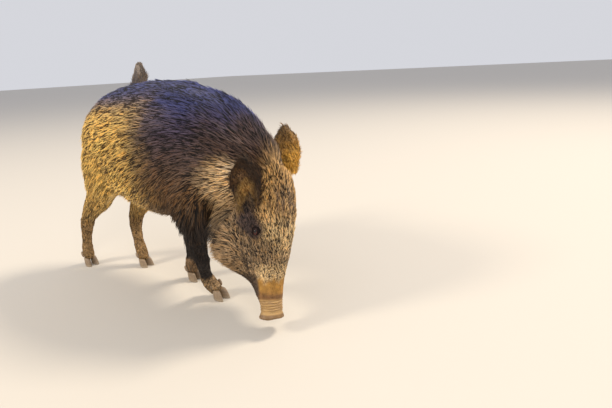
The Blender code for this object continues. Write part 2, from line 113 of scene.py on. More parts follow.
# ------------ node trees
class Tree:
    """Lays out a node tree. A value for a socket is a constant or another node's socket."""

    def __init__(self, tree):
        self.tree = tree

    def feed(self, node, inputs):
        for key, value in dict(inputs).items():
            if isinstance(value, bpy.types.NodeSocket):
                self.tree.links.new(value, node.inputs[key])
            else:
                node.inputs[key].default_value = value

    def add(self, kind, inputs=(), **settings):
        node = self.tree.nodes.new(kind)
        for key, value in settings.items():
            setattr(node, key, value)
        self.feed(node, inputs)
        return node

    def math(self, operation, *values, clamp=False):
        node = self.add("ShaderNodeMath", enumerate(values), operation=operation, use_clamp=clamp)
        return node.outputs[0]

    def ramp(self, value, start, steepness):
        """0 up to the start, then rising to 1."""
        return self.math("MULTIPLY", self.math("SUBTRACT", value, start), steepness, clamp=True)

    def vector(self, operation, *values):
        return self.add("ShaderNodeVectorMath", enumerate(values), operation=operation).outputs[0]

    def scaled(self, vector, by):
        return self.add("ShaderNodeVectorMath", {0: vector, "Scale": by}, operation="SCALE").outputs[0]

    def noise(self, place, scale, detail, **more):
        """Outputs of a noise: its value first, and its colour."""
        inputs = {"Vector": place, "Scale": scale, "Detail": detail, **more}
        return self.add("ShaderNodeTexNoise", inputs).outputs

    def random(self, kind, low, high, seed=0):
        at = ("FLOAT_VECTOR", "FLOAT", "INT").index(kind)
        inputs = {2 * at: low, 2 * at + 1: high, "Seed": seed}
        return self.add("FunctionNodeRandomValue", inputs, data_type=kind).outputs[at]

    def kept(self, name, kind="FLOAT"):
        """A value kept on the geometry."""
        node = self.add("GeometryNodeInputNamedAttribute", {"Name": name}, data_type=kind)
        return node.outputs["Attribute"]

    def store(self, geometry, name, kind, domain, value):
        inputs = {"Geometry": geometry, "Name": name, "Value": value}
        node = self.add("GeometryNodeStoreNamedAttribute", inputs, data_type=kind, domain=domain)
        return node.outputs["Geometry"]

    def read(self, name):
        """A value kept on the mesh, for a material."""
        return self.add("ShaderNodeAttribute", attribute_name=name).outputs

    def place(self):
        return self.add("ShaderNodeTexCoord").outputs["Object"]

    def mix(self, share, a, b, blend="MIX"):
        """Two colours, each a socket or three numbers."""
        inputs = {0: share}
        for key, value in ((6, a), (7, b)):
            inputs[key] = (*value, 1.0) if isinstance(value, tuple) else value
        return self.add("ShaderNodeMix", inputs, data_type="RGBA", blend_type=blend).outputs[2]

    def mix_numbers(self, share, a, b):
        return self.add("ShaderNodeMix", {0: share, 2: a, 3: b}, data_type="FLOAT").outputs[0]

    def bump(self, height, strength, distance):
        inputs = {"Height": height, "Strength": strength, "Distance": distance}
        return self.add("ShaderNodeBump", inputs).outputs["Normal"]


def new_group(name, kind, inputs, outputs):
    """A node group with sockets, each given by its name and kind."""
    tree = bpy.data.node_groups.new(name, kind)
    for way, sockets in (("INPUT", inputs), ("OUTPUT", outputs)):
        for label, sort in sockets.items():
            tree.interface.new_socket(label, in_out=way, socket_type="NodeSocket" + sort)
    return Tree(tree)


def new_material(name):
    mat = bpy.data.materials.new(name)
    mat.use_nodes = True
    return mat, Tree(mat.node_tree), mat.node_tree.nodes["Principled BSDF"]


# ------------ camera, floor and light
SENSOR = 36.0          # millimetres, as for the lens
LENS = 27.06
CAMERA_PLACE = (1.562, -1.034, 0.80)
CAMERA_FACING = (-0.602, 0.799, 0.0)
CAMERA_PITCH = math.radians(16.5)
CAMERA_ROLL = math.radians(-3.0)
SKY_COLOUR = (0.93, 0.94, 1.0, 1.0)
SKY_STRENGTH = 0.72
# Name, place, the spot it faces, width, power and colour
LIGHTS = (("key", (3.0, 5.0, 8.0), (0.0, 0.0, 0.4), 2.4, 760.0, (1.0, 0.87, 0.68)),
          ("front", (7.0, -4.0, 5.2), (0.2, 0.0, 0.4), 3.2, 270.0, (1.0, 0.91, 0.78)),
          ("flank", (-4.6, -6.8, 6.0), (-0.2, 0.0, 0.4), 2.4, 560.0, (1.0, 0.88, 0.68)))
FLOOR_HALF = 60.0
FLOOR_COLOUR = (0.56, 0.53, 0.49, 1.0)


def link(name, data):
    ob = bpy.data.objects.new(name, data)
    bpy.context.scene.collection.objects.link(ob)
    return ob


def camera():
    data = bpy.data.cameras.new("camera")
    data.lens = LENS
    data.sensor_width = SENSOR
    plan = Vector(CAMERA_FACING).normalized()
    level = math.cos(CAMERA_PITCH)
    ahead = Vector((plan.x * level, plan.y * level, -math.sin(CAMERA_PITCH)))
    right = Vector((plan.y, -plan.x, 0.0))
    up = right.cross(ahead)
    across = right * math.cos(CAMERA_ROLL) + up * math.sin(CAMERA_ROLL)
    top = up * math.cos(CAMERA_ROLL) - right * math.sin(CAMERA_ROLL)
    turn = Matrix((across, top, -ahead)).transposed().to_4x4()
    turn.translation = Vector(CAMERA_PLACE) + BODY_SHIFT
    eye = link("camera", data)
    eye.matrix_world = turn
    bpy.context.scene.camera = eye


def area_light(name, place, target, size, power, colour):
    data = bpy.data.lights.new(name, "AREA")
    data.shape = "DISK"
    data.size = size
    data.energy = power
    data.color = colour
    lamp = link(name, data)
    lamp.location = place
    lamp.rotation_euler = (Vector(target) - Vector(place)).to_track_quat("-Z", "Y").to_euler()


def studio():
    world = bpy.data.worlds.new("studio")
    world.use_nodes = True
    back = world.node_tree.nodes["Background"]
    Tree(world.node_tree).feed(back, {"Color": SKY_COLOUR, "Strength": SKY_STRENGTH})
    bpy.context.scene.world = world
    bpy.context.scene.view_settings.view_transform = "Standard"
    for light in LIGHTS:
        area_light(*light)
    bm = bmesh.new()
    bmesh.ops.create_grid(bm, x_segments=1, y_segments=1, size=FLOOR_HALF)
    floor = link("floor", mesh_from(bm, "floor"))
    mat, t, shader = new_material("pale_floor")
    t.feed(shader, {"Base Color": FLOOR_COLOUR, "Roughness": 0.9})
    floor.data.materials.append(mat)


# ------------ mesh helpers
def applied(ob):
    """The evaluated mesh, as a plain one."""
    graph = bpy.context.evaluated_depsgraph_get()
    mesh = bpy.data.meshes.new_from_object(ob.evaluated_get(graph))
    ob.modifiers.clear()
    ob.data = mesh
    return ob


def vectors_of(data, name):
    flat = np.empty(len(data) * 3, np.float32)
    data.foreach_get(name, flat)
    return flat.reshape(-1, 3).astype(np.float64)


def points_of(mesh):
    return vectors_of(mesh.vertices, "co")


def normals_of(mesh):
    return vectors_of(mesh.vertex_normals, "vector")


def set_points(mesh, points):
    mesh.vertices.foreach_set("co", points.astype(np.float32).ravel())
    mesh.update()


def shade_smooth(mesh):
    for face in mesh.polygons:
        face.use_smooth = True


def mesh_from(bm, name):
    """A new mesh from a bmesh, which is freed."""
    mesh = bpy.data.meshes.new(name)
    bm.to_mesh(mesh)
    bm.free()
    return mesh


def closed_mesh(name, verts, faces):
    """A mesh with its faces turned outwards."""
    mesh = bpy.data.meshes.new(name)
    mesh.from_pydata([tuple(v) for v in verts], [], faces)
    bm = bmesh.new()
    bm.from_mesh(mesh)
    bmesh.ops.recalc_face_normals(bm, faces=bm.faces)
    bm.to_mesh(mesh)
    bm.free()
    return mesh


def keep(mesh, name, values, domain="POINT"):
    """Keeps a number or a vector at each point or corner of a mesh."""
    kind, field = ("FLOAT", "value") if values.ndim == 1 else ("FLOAT_VECTOR", "vector")
    data = mesh.attributes.new(name, kind, domain).data
    data.foreach_set(field, values.astype(np.float32).ravel())


def gap(points, spot):
    """How far each point lies from a spot."""
    return np.linalg.norm(points - np.array(spot), axis=1)


def step(low, high, value):
    """0 below low, 1 above high, and a soft ramp between."""
    t = np.clip((value - low) / (high - low), 0.0, 1.0)
    return t * t * (3.0 - 2.0 * t)


def blob(points, centre, radii):
    """1 at a centre, falling softly to 0 at the radii."""
    d = np.linalg.norm((points - np.array(centre)) / np.array(radii), axis=1)
    return 1.0 - step(0.35, 1.0, d)


def blobs(points, centres, radii):
    """The greatest of some blobs of one size."""
    return np.maximum.reduce([blob(points, centre, radii) for centre in centres])


class Mesh_Field:
    """Averages values over each point's neighbours on a mesh."""

    def __init__(self, mesh):
        ends = np.empty(len(mesh.edges) * 2, np.int32)
        mesh.edges.foreach_get("vertices", ends)
        self.ends = ends.reshape(-1, 2)
        self.count = len(mesh.vertices)
        self.weight = np.maximum(np.bincount(self.ends.ravel(), minlength=self.count), 1)

    def mean(self, values):
        a, b = self.ends[:, 0], self.ends[:, 1]
        if values.ndim == 1:
            total = np.bincount(a, values[b], self.count) + np.bincount(b, values[a], self.count)
            return total / self.weight
        return np.stack([self.mean(values[:, k]) for k in range(values.shape[1])], 1)

    def smooth(self, values, times, share=0.5):
        if np.ndim(share) and values.ndim > 1:
            share = share[:, None]
        for _ in range(times):
            values = values + share * (self.mean(values) - values)
        return values


camera()
studio()


# ------------ skin
def flesh_together():
    """One closed skin over all the nodes of flesh."""
    bm = bmesh.new()
    for name in FLESH:
        one = bmesh.new()
        one.from_mesh(nodes[name].data)
        bmesh.ops.remove_doubles(one, verts=one.verts, dist=1e-5)
        bmesh.ops.recalc_face_normals(one, faces=one.faces)
        one.normal_update()
        grow = 0.0009 if name.endswith("ear") else 0.0005
        for vert in one.verts:
            vert.co += vert.normal * grow
        mesh = mesh_from(one, "one")
        bm.from_mesh(mesh)
        bpy.data.meshes.remove(mesh)
    skin = link("boar_skin", mesh_from(bm, "boar_skin"))
    remesh = skin.modifiers.new("Together", "REMESH")
    remesh.mode = "VOXEL"
    remesh.voxel_size = SKIN_VOXEL
    return applied(skin)


def regions_of(points):
    """For each point, the number in FLESH of the solid that it lies nearest."""
    corners, faces, owner = [], [], []
    for number, name in enumerate(FLESH):
        mesh = nodes[name].data
        base = len(corners)
        corners += [tuple(v.co) for v in mesh.vertices]
        faces += [[base + i for i in face.vertices] for face in mesh.polygons]
        owner += [number] * len(mesh.polygons)
    tree = BVHTree.FromPolygons(corners, faces)
    found = [tree.find_nearest(Vector(p))[2] for p in points]
    return np.array(owner)[np.array(found)]


def members(region, *names):
    """1 for the points of the solids with one of these words in their names."""
    wanted = [k for k, name in enumerate(FLESH) if any(word in name for word in names)]
    return np.isin(region, wanted).astype(float)


# By solid: softening of the skin, depth of the coat, fineness kept, and the tufts' length, width and stand.
# The word is looked for in the solid's name and the last row wins: "ear" is found in "forearm" too.
BY_SOLID = (("barrel", 0.5, 0.0102, 0.0, 0.044, 0.0037, 0.26),
            ("rump", 0.45, 0.009, 0.0, 0.038, 0.0035, 0.26),
            ("shoulders", 0.5, 0.0113, 0.0, 0.042, 0.0036, 0.27),
            ("neck", 0.45, 0.013, 0.15, 0.034, 0.003, 0.3),
            ("head", 0.34, 0.004, 1.0, 0.019, 0.0024, 0.24),
            ("lower_jaw", 0.34, 0.0085, 0.6, 0.022, 0.0026, 0.42),
            ("snout_disc", 0.1, 0.0002, 1.0, 0.003, 0.001, 0.1),
            ("ear", 0.06, 0.001, 0.9, 0.0125, 0.0019, 0.55),
            ("forearm", 0.22, 0.0064, 0.9, 0.02, 0.0026, 0.2),
            ("gaskin", 0.25, 0.0065, 0.0, 0.022, 0.0027, 0.2),
            ("cannon", 0.14, 0.0035, 0.4, 0.013, 0.0021, 0.16),
            ("foot", 0.1, 0.0022, 0.6, 0.011, 0.0019, 0.16),
            ("tail", 0.06, 0.0045, 0.0, 0.022, 0.0024, 0.75),
            ("tail_tuft", 0.06, 0.0045, 0.0, 0.017, 0.0024, 0.8))
SOFTEN, COAT_DEPTH, KEEP_FINE, LENGTH, WIDTH, STAND = range(1, 7)


def named(region, column):
    """A value for each point, from its solid's row."""
    values = np.zeros(len(region))
    for row in BY_SOLID:
        values[members(region, row[0]) > 0] = row[column]
    return values


def eye_place(side):
    return HEAD @ Vector((EYE_ALONG, side * EYE_SIDE, EYE_UP))


EYES = [eye_place(side) for side in (-1, 1)]


def finer(mesh, wanted):
    """Halves the edges whose two ends are wanted."""
    bm = bmesh.new()
    bm.from_mesh(mesh)
    edges = [e for e in bm.edges if wanted[e.verts[0].index] and wanted[e.verts[1].index]]
    bmesh.ops.subdivide_edges(bm, edges=edges, cuts=1, use_grid_fill=True)
    bmesh.ops.triangulate(bm, faces=[f for f in bm.faces if len(f.verts) > 4])
    bm.to_mesh(mesh)
    bm.free()


def hump(value, centre, width):
    """1 at the centre, falling off to both sides."""
    return np.exp(-((value - centre) / width) ** 2)


def mouth_line(along):
    return MOUTH_UP + 0.010 * step(0.30, MOUTH_TO, along)


def mouth_mask(head, width):
    along, _, up = head.T
    run = step(MOUTH_FROM, MOUTH_FROM + 0.02, along) * step(MOUTH_TO + 0.006, MOUTH_TO - 0.004, along)
    return run * hump(up, mouth_line(along), width)


def nostril_gaps(head):
    """How far each point lies from the middle of each nostril, which is wider than high."""
    return [np.hypot((head[:, 1] - side) / 1.25, head[:, 2] - up) for side, up in NOSTRILS]


def wrinkle_mask(head):
    along, _, up = head.T
    run = step(WRINKLES_FROM, WRINKLES_FROM + 0.008, along) * step(WRINKLES_TO, WRINKLES_TO - 0.006, along)
    return run * step(-0.030, -0.010, up)


def sculpt_face(skin, region):
    """Lips, the folds behind the snout disc, its rim and dish, and the ridge over each eye."""
    mesh = skin.data
    points = points_of(mesh)
    head = in_head(points)
    along, side, up = head.T
    own = members(region, *HEAD_SOLIDS)
    out = np.stack([np.zeros(len(points)), side, up - 0.003], 1)
    out /= np.maximum(np.linalg.norm(out, axis=1), 1e-6)[:, None]
    out = out @ HEAD_AXES.T
    front = HEAD_AXES[:, 0]
    reach = np.hypot(side, up - 0.003)
    rise = -0.0030 * mouth_mask(head, 0.0032) + 0.0012 * mouth_mask(head + (0, 0, 0.009), 0.005)
    rise += wrinkle_mask(head) * 0.0010 * np.sin(along * 2 * math.pi / 0.0078 + side * 40.0)
    rim = 0.0024 * hump(along, 0.411, 0.0055) - 0.0020 * hump(along, 0.394, 0.0050)
    rise += step(0.02, 0.03, reach) * rim
    for spot in EYES:
        rise += 0.0026 * hump(gap(points, spot), 0.018, 0.010)
    move = out * (rise * own)[:, None]
    dish = own * step(0.4100, 0.4135, along) * (1.0 - step(0.018, 0.037, reach))
    move -= front * (0.0022 * dish)[:, None]
    for far in nostril_gaps(head):
        pit = own * step(0.400, 0.408, along) * (1.0 - step(0.0035, 0.0072, far))
        move -= front * (0.0090 * pit)[:, None]
        move += front * (0.0012 * own * step(0.405, 0.411, along) * hump(far, 0.0095, 0.0022))[:, None]
    set_points(mesh, points + move)


def build_skin():
    """The skin inside the coat's depth, finer on the face, with the face's small forms."""
    skin = flesh_together()
    mesh = skin.data
    points = points_of(mesh)
    field = Mesh_Field(mesh)
    region = regions_of(points)
    share = field.smooth(named(region, SOFTEN), 8)
    points = field.smooth(points, 50, share)
    set_points(mesh, points)
    depth = field.smooth(named(region, COAT_DEPTH), 40)
    for spot in EYES:
        depth *= 1.0 - 0.9 * hump(gap(points, spot), 0.0, 0.026)
    points = points - normals_of(mesh) * depth[:, None]
    points = field.smooth(points, 6, share)
    set_points(mesh, points)
    fine = field.smooth(named(region, KEEP_FINE), 12)
    group = skin.vertex_groups.new(name="coarser")
    levels = np.round((1.0 - fine) * 10).astype(int)
    for level in range(11):
        group.add([int(i) for i in np.nonzero(levels == level)[0]], level / 10, "REPLACE")
    thin = skin.modifiers.new("Coarser", "DECIMATE")
    thin.ratio = SKIN_KEPT
    thin.vertex_group = "coarser"
    thin.vertex_group_factor = 4.0
    applied(skin)
    skin.vertex_groups.clear()
    head = in_head(points_of(skin.data))
    finer(skin.data, (head[:, 0] > FINE_FROM) & (head[:, 2] > -0.09))
    field = Mesh_Field(skin.data)
    points = points_of(skin.data)
    muzzle = (in_head(points)[:, 0] > FINE_FROM).astype(float)
    set_points(skin.data, field.smooth(points, 2, 0.5 * muzzle))
    sculpt_face(skin, regions_of(points))
    shade_smooth(skin.data)
    return skin


skin = build_skin()
points = points_of(skin.data)
normals = normals_of(skin.data)
field = Mesh_Field(skin.data)
region = regions_of(points)
head_points = in_head(points)
x, y, z = points.T
along, side, up = head_points.T


def on(*names):
    """1 for the skin's points on these solids."""
    return members(region, *names)


on_head = on(*HEAD_SOLIDS)
on_neck = on("neck")
trunk = 1.0 - on_head
facing_up = step(0.25, 0.80, normals[:, 2])


# ------------ lie of the coat
LIE_ROUNDS = 44        # of smoothing on the trunk
LIE_ROUNDS_ALL = 14    # the first of them, everywhere
FLANK_FOLDS = ((-0.255, -0.148, 0.430), (-0.255, 0.130, 0.430))
flank_fold = on("barrel", "rump", "gaskin") * blobs(points, FLANK_FOLDS, (0.060, 0.055, 0.085))


def flat(vectors):
    """Vectors laid in the skin's surface, at length one."""
    vectors = vectors - normals * (vectors * normals).sum(1)[:, None]
    return vectors / np.maximum(np.linalg.norm(vectors, axis=1), 1e-6)[:, None]


def lie_of_coat():
    """Back along the body and the face, down the legs and the throat, and up the tail."""
    lie = np.tile((-1.0, 0.0, -0.06), (len(points), 1))
    lie[:, 2] -= 1.6 * step(-0.30, -0.46, x) * step(0.72, 0.60, z)
    lie[:, 2] -= 0.25 * step(0.66, 0.45, z) * step(0.30, 0.40, z)
    lie[:, 2] -= 0.35 * step(-0.10, -0.30, x) * step(0.74, 0.60, z)
    lie[:, 2] -= 1.6 * on("shoulders") * step(0.48, 0.34, z)
    lie[:, 2] -= 1.5 * on("rump") * step(0.52, 0.38, z)
    neck = on_neck > 0
    lie[neck] = (-0.85, 0.0, 0.30)
    lie[neck, 2] -= 0.75 * step(0.56, 0.36, z[neck])
    face = np.stack([-np.ones(len(points)), 0.25 * np.sign(side), -0.10 * np.ones(len(points))], 1)
    cheek = step(-0.030, -0.100, up) * step(0.31, 0.20, along)
    face[:, 0] += 0.45 * cheek
    face[:, 1] += 0.5 * np.sign(side) * cheek
    face[:, 2] -= 1.1 * cheek
    lie[on_head > 0] = (face @ HEAD_AXES.T)[on_head > 0]
    for word in ("forearm", "gaskin", "cannon", "foot"):
        lie[on(word) > 0] = (-0.12, 0.0, -1.0)
    lie[on("tail") > 0] = (0.10, 0.35, 0.90)
    for word in ("right_ear", "left_ear"):
        low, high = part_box(word)
        own = on(word) > 0
        lie[own] = (low[0] - high[0], (0.3 if word == "left_ear" else -0.2) * (high[1] - low[1]),
                    high[2] - low[2])
    lie[:, 2] -= 1.8 * step(0.20, 0.80, -normals[:, 0]) * step(0.77, 0.67, z)
    lie[:, 2] -= 2.5 * flank_fold
    hang = on("neck", "shoulders") * step(0.425, 0.370, z) * step(0.17, 0.23, x)
    lie[:, 0] *= 1.0 - 0.55 * hang
    lie[:, 2] -= 1.8 * hang
    lie = flat(lie)
    broad = on("barrel", "rump", "shoulders", "gaskin")[:, None]
    for turn in range(LIE_ROUNDS):
        softer = flat(field.mean(lie))
        lie = softer if turn < LIE_ROUNDS_ALL else flat(lie + broad * (softer - lie))
    return lie


lie = lie_of_coat()

# ------------ length, width, stand and fill of the coat
CROWN_WHORL = (0.514, -0.002, 0.532)
RIGHT_TUFT = (0.476, -0.108, 0.446)
EAR_ROOTS = [HEAD @ Vector(spot) for spot in ((0.055, -0.100, 0.004), (-0.036, 0.090, -0.004))]

length = field.smooth(named(region, LENGTH), 14)
width = field.smooth(named(region, WIDTH), 14)
stand = field.smooth(named(region, STAND), 14)
length += 0.003 * (facing_up * step(-0.10, 0.10, x) * trunk)
stand *= 1.0 - 0.62 * facing_up * trunk
throat = trunk * step(0.435, 0.380, z) * step(0.18, 0.24, x) * step(0.14, 0.08, np.abs(y + 0.03))
throat *= step(0.290, 0.335, z)
length += 0.034 * throat
stand += 0.20 * throat + 0.12 * flank_fold
muzzle = on_head * step(0.18, 0.31, along)
length *= 1.0 - 0.62 * muzzle
width *= 1.0 - 0.42 * muzzle
edge = along + 0.0045 * np.sin(side * 210.0) + 0.003 * np.sin(side * 520.0 + 1.0)
velvet = on_head * step(0.288, 0.318, edge) * step(-0.030, -0.016, up)
length = length + velvet * (0.0055 - length)
width = width + velvet * (0.0012 - width)
stand = stand + velvet * (0.06 - stand)
bare = on_head * step(0.346, 0.360, along)
near_eye = np.minimum(*[gap(points, spot) for spot in EYES])
length *= 1.0 - 0.60 * step(0.052, 0.020, near_eye)
width *= 1.0 - 0.30 * step(0.052, 0.020, near_eye)
ruff = on_head * step(-0.040, -0.110, up) * step(0.31, 0.22, along)
length += 0.012 * ruff
width += 0.0006 * ruff
stand += 0.95 * ruff
by_ear = blobs(points, EAR_ROOTS, (0.055,) * 3)
length += 0.007 * by_ear * (1.0 - on("ear"))
stand += 0.16 * by_ear
rim = on("ear") * step(0.04, 0.30, 1.0 - np.linalg.norm(field.smooth(normals, 4, 1.0), axis=1))
rim = field.smooth(rim, 2)
rim *= 1.0 - 0.6 * on("left_ear")
length += 0.010 * rim
stand += 0.50 * rim
stand *= 1.0 - 0.7 * blob(points, CROWN_WHORL, (0.035,) * 3)
ear_tuft = on("right_ear") * blob(points, RIGHT_TUFT, (0.035, 0.042, 0.058))
length += 0.010 * ear_tuft
length *= 1.0 - 0.55 * on("tail") * step(0.79, 0.84, z)
length = np.minimum(length, 0.004 + 0.70 * np.maximum(z - 0.008, 0.0))
fill = 1.0 - step(0.15, 0.85, bare)
fill *= step(0.006, 0.012, z)
fill *= step(0.0106, 0.0122, near_eye) * (1.0 + 1.2 * step(0.050, 0.022, near_eye))


# ------------ markings, with painted sunlight and painted shade, shared by skin and coat
# Dark brown coat, darkened further with the painted shade of a tree over the front of the body; also the
# forehead's dark streaks
DARK_BROWN_AND_SHADE = ((0.006, 0.004, 0.004), (0.116, 0.077, 0.076))
# The top of the back: dark brown coat with painted shade and a painted blue sky reflection
BACK_SHADE_AND_SKY = ((0.005, 0.005, 0.014), (0.056, 0.067, 0.214))
# Golden brown of the rear, brightened with painted sunlight
SUNLIT_GOLD = ((0.085, 0.045, 0.012), (1.0, 0.69, 0.205))
FLANK_GOLD = ((0.008, 0.005, 0.003), (0.21, 0.115, 0.05))
STRAW = ((0.075, 0.046, 0.026), (0.93, 0.67, 0.365))
CREAM = ((0.11, 0.07, 0.042), (1.0, 0.8, 0.56))
CHEEK = ((0.008, 0.006, 0.005), (0.48, 0.32, 0.17))
FOREHEAD = ((0.02, 0.01, 0.004), (0.67, 0.42, 0.17))
FACE_PALE = ((0.03, 0.018, 0.009), (0.89, 0.66, 0.35))
FACE_GREY = ((0.008, 0.006, 0.006), (0.34, 0.235, 0.135))
EYE_PATCH = ((0.005, 0.004, 0.004), (0.092, 0.057, 0.052))
BELLY_PALE = ((0.16, 0.095, 0.04), (0.7, 0.47, 0.2))
# Dark foreleg hair under painted shade; also painted shade on the low chest
LEG_DARK_AND_SHADE = ((0.004, 0.003, 0.003), (0.026, 0.017, 0.013))
LEG_TAN = ((0.06, 0.034, 0.013), (0.4, 0.25, 0.105))
FETLOCK = ((0.06, 0.038, 0.018), (0.42, 0.28, 0.145))
MUZZLE_TAN = ((0.235, 0.112, 0.016), (0.395, 0.203, 0.03))
MUZZLE_BAND = ((0.11, 0.048, 0.014), (0.16, 0.075, 0.024))
# Painted shade under the muzzle and along the mouth line
MOUTH_SHADE = ((0.018, 0.01, 0.006), (0.06, 0.034, 0.018))
SNOUT_SKIN = ((0.36, 0.208, 0.072), (0.5, 0.315, 0.12))
DISC_TAN = ((0.15, 0.078, 0.027), (0.245, 0.142, 0.053))
# Painted shade inside the nostril pits
NOSTRIL_SHADE = ((0.03, 0.012, 0.008), (0.03, 0.012, 0.008))
# Dark ear hair; on the right ear and the left ear's upper rim it is partly painted shade
EAR_DARK_AND_SHADE = ((0.007, 0.004, 0.002), (0.058, 0.029, 0.012))
EAR_TAN = ((0.11, 0.055, 0.012), (0.5, 0.27, 0.055))
# Painted sunlight on the lower front of the left ear
EAR_LIT = ((0.22, 0.11, 0.016), (0.8, 0.45, 0.065))
EAR_BROWN = ((0.026, 0.014, 0.006), (0.26, 0.14, 0.058))
# Pale hair in the right ear, partly its own colour and partly painted sunlight
EAR_TUFT = ((0.32, 0.155, 0.04), (1.0, 0.64, 0.23))
TAIL_GREY = ((0.04, 0.032, 0.03), (0.27, 0.225, 0.195))

# The pale patch behind each ear: its middles, and its layers as colours, share, shift and radii
NECK_PATCHES = ((0.408, -0.125, 0.482), (0.396, 0.095, 0.490))
PATCH_LAYERS = ((STRAW, 0.60, (-0.03, 0.01, -0.10), (0.09, 0.10, 0.07)),
                (STRAW, 0.55, (-0.03, 0.0, -0.05), (0.11, 0.10, 0.12)),
                (STRAW, 0.85, (0.0, 0.0, 0.0), (0.080, 0.090, 0.086)),
                (CREAM, 0.85, (0.028, 0.015, 0.03), (0.045, 0.05, 0.040)))


def wobble(scale, seed):
    """A soft uneven edge: a few crossed waves of about one length, from -1 to 1."""
    draw = np.random.default_rng(seed)
    total = np.zeros(len(points))
    for _ in range(7):
        way = draw.normal(size=3)
        way *= 2 * math.pi / (scale * np.linalg.norm(way) * draw.uniform(0.7, 1.4))
        total += np.sin(points @ way + draw.uniform(0, 6.28))
    return total / 4.0


def both_sides(spot, radii):
    """A blob on the right and its twin on the left of the head."""
    return blobs(head_points, [(spot[0], s * spot[1], spot[2]) for s in (-1, 1)], radii)


def markings():
    """The colours of root and tip at each point, painted sunlight and painted shade among them, laid one
    over another from the back to the tail.
    """
    # The base: dark brown coat under painted tree shade
    root = np.tile(DARK_BROWN_AND_SHADE[0], (len(points), 1)).astype(float)
    tip = np.tile(DARK_BROWN_AND_SHADE[1], (len(points), 1)).astype(float)
    uneven = wobble(0.13, 3)
    fine = wobble(0.045, 4)

    def lay(colours, mask):
        nonlocal root, tip
        mask = np.clip(mask, 0.0, 1.0)[:, None]
        root = root + mask * (np.array(colours[0]) - root)
        tip = tip + mask * (np.array(colours[1]) - tip)

    lay(FLANK_GOLD, trunk * step(0.60, 0.44, z + 0.03 * uneven))
    # Painted shade and painted sky reflection along the top of the back
    lay(BACK_SHADE_AND_SKY, trunk * step(0.585, 0.70, z + 0.025 * uneven))
    # The rear in painted sunlight; its front edge, slanting up the flank, is a painted shadow edge
    sunlit_rear = step(0.060, 0.018, x - 0.29 * (z - 0.50) + 0.010 * uneven + 0.006 * fine)
    lay(SUNLIT_GOLD, 0.95 * trunk * sunlit_rear
        * step(0.745, 0.665, z + 0.015 * uneven + 0.07 * step(-0.25, -0.45, x)))
    for reach in (-0.13, 0.11):
        lay(BELLY_PALE, 0.8 * trunk * blob(points, (-0.14, reach, 0.345), (0.09, 0.08, 0.06)))
    for spot in NECK_PATCHES:
        for colours, share, shift, radii in PATCH_LAYERS:
            lay(colours, share * on_neck * blob(points, np.add(spot, shift), radii))
    lay(CHEEK, 0.6 * on_neck * step(0.46, 0.40, z) * step(0.31, 0.38, x))
    lay(CHEEK, on_head)
    lay(FOREHEAD, on_head * step(0.004, 0.042, up) * step(0.15, 0.09, along + 0.01 * fine))
    lay(FOREHEAD, on_neck * step(0.026, 0.058, up) * step(-0.14, -0.06, along)
        * step(0.09, 0.04, np.abs(side)))
    streaks = step(-0.6, 0.5, np.sin(side * 300.0 + 1.4 * fine) + 0.4 * uneven)
    lay(DARK_BROWN_AND_SHADE, 0.85 * on_head * step(0.026, 0.054, up) * hump(along, 0.062, 0.046)
        * step(0.062, 0.030, np.abs(side + 0.004)) * streaks)
    lay(CHEEK, 0.40 * on_head * blob(head_points, (0.040, -0.008, 0.072), (0.050, 0.050, 0.040)))
    lay(FACE_PALE, on_head * step(0.01, 0.05, up) * hump(along, 0.165, 0.052))
    lay(FACE_GREY, 0.85 * on_head * step(0.155, 0.20, along) * step(0.29, 0.24, along)
        * step(0.016, 0.045, np.abs(side)) * step(-0.07, -0.03, up))
    lay(EAR_DARK_AND_SHADE, 0.75 * both_sides((0.058, 0.098, 0.010), (0.050,) * 3) * on_head)
    lay(EYE_PATCH, 0.97 * both_sides((0.116, 0.098, -0.010), (0.064, 0.054, 0.054)))
    lay(EYE_PATCH, 0.97 * both_sides((0.140, 0.082, 0.012), (0.046, 0.042, 0.038)))
    lay(FACE_PALE, 0.7 * on_head * step(0.235, 0.262, along) * step(-0.02, 0.01, up))
    lay(MUZZLE_TAN, on_head * step(0.284, 0.304, edge + 0.004 * fine) * step(-0.022, -0.006, up))
    lay(MUZZLE_BAND, 0.7 * on_head * step(0.325, 0.350, along - 0.35 * side + 0.005 * fine))
    # Painted shade on the lower side of the muzzle
    lay(MOUTH_SHADE, 0.95 * on_head * step(0.262, 0.292, along) * step(-0.002, -0.016, up))
    lay(MUZZLE_BAND, 0.85 * on_head * step(-0.03, -0.01, up) * hump(along, 0.345, 0.0065))
    lay(SNOUT_SKIN, on_head * step(0.350, 0.357, along) * step(-0.022, -0.008, up))
    # Painted shade along the mouth line
    lay(MOUTH_SHADE, 0.9 * on_head * mouth_mask(head_points, 0.0042))
    lay(DISC_TAN, on_head * step(0.397, 0.402, along))
    # Painted shade in the nostril pits
    for far in nostril_gaps(head_points):
        lay(NOSTRIL_SHADE, on_head * step(0.396, 0.402, along) * (1.0 - step(0.0055, 0.0080, far)))
    fore = field.smooth(on("fore_forearm", "fore_cannon"), 10)
    hind = field.smooth(on("hind_gaskin", "hind_cannon", "hind_foot"), 10)
    # Painted shade on the low chest between the forelegs, and on the dark forelegs
    shaded_chest = on("shoulders", "neck") * step(0.43, 0.35, z) * step(0.10, 0.16, x)
    lay(LEG_DARK_AND_SHADE, np.maximum(fore, 0.97 * shaded_chest))
    lay(LEG_TAN, hind)
    right_foot, shaded_left_foot = on("right_fore_foot"), on("left_fore_foot")
    # Less of the pale fetlock colour on the left forefoot: painted shade
    lay(FETLOCK, field.smooth(right_foot + 0.4 * shaded_left_foot, 10))
    right_ear, left_ear = on("right_ear"), on("left_ear")
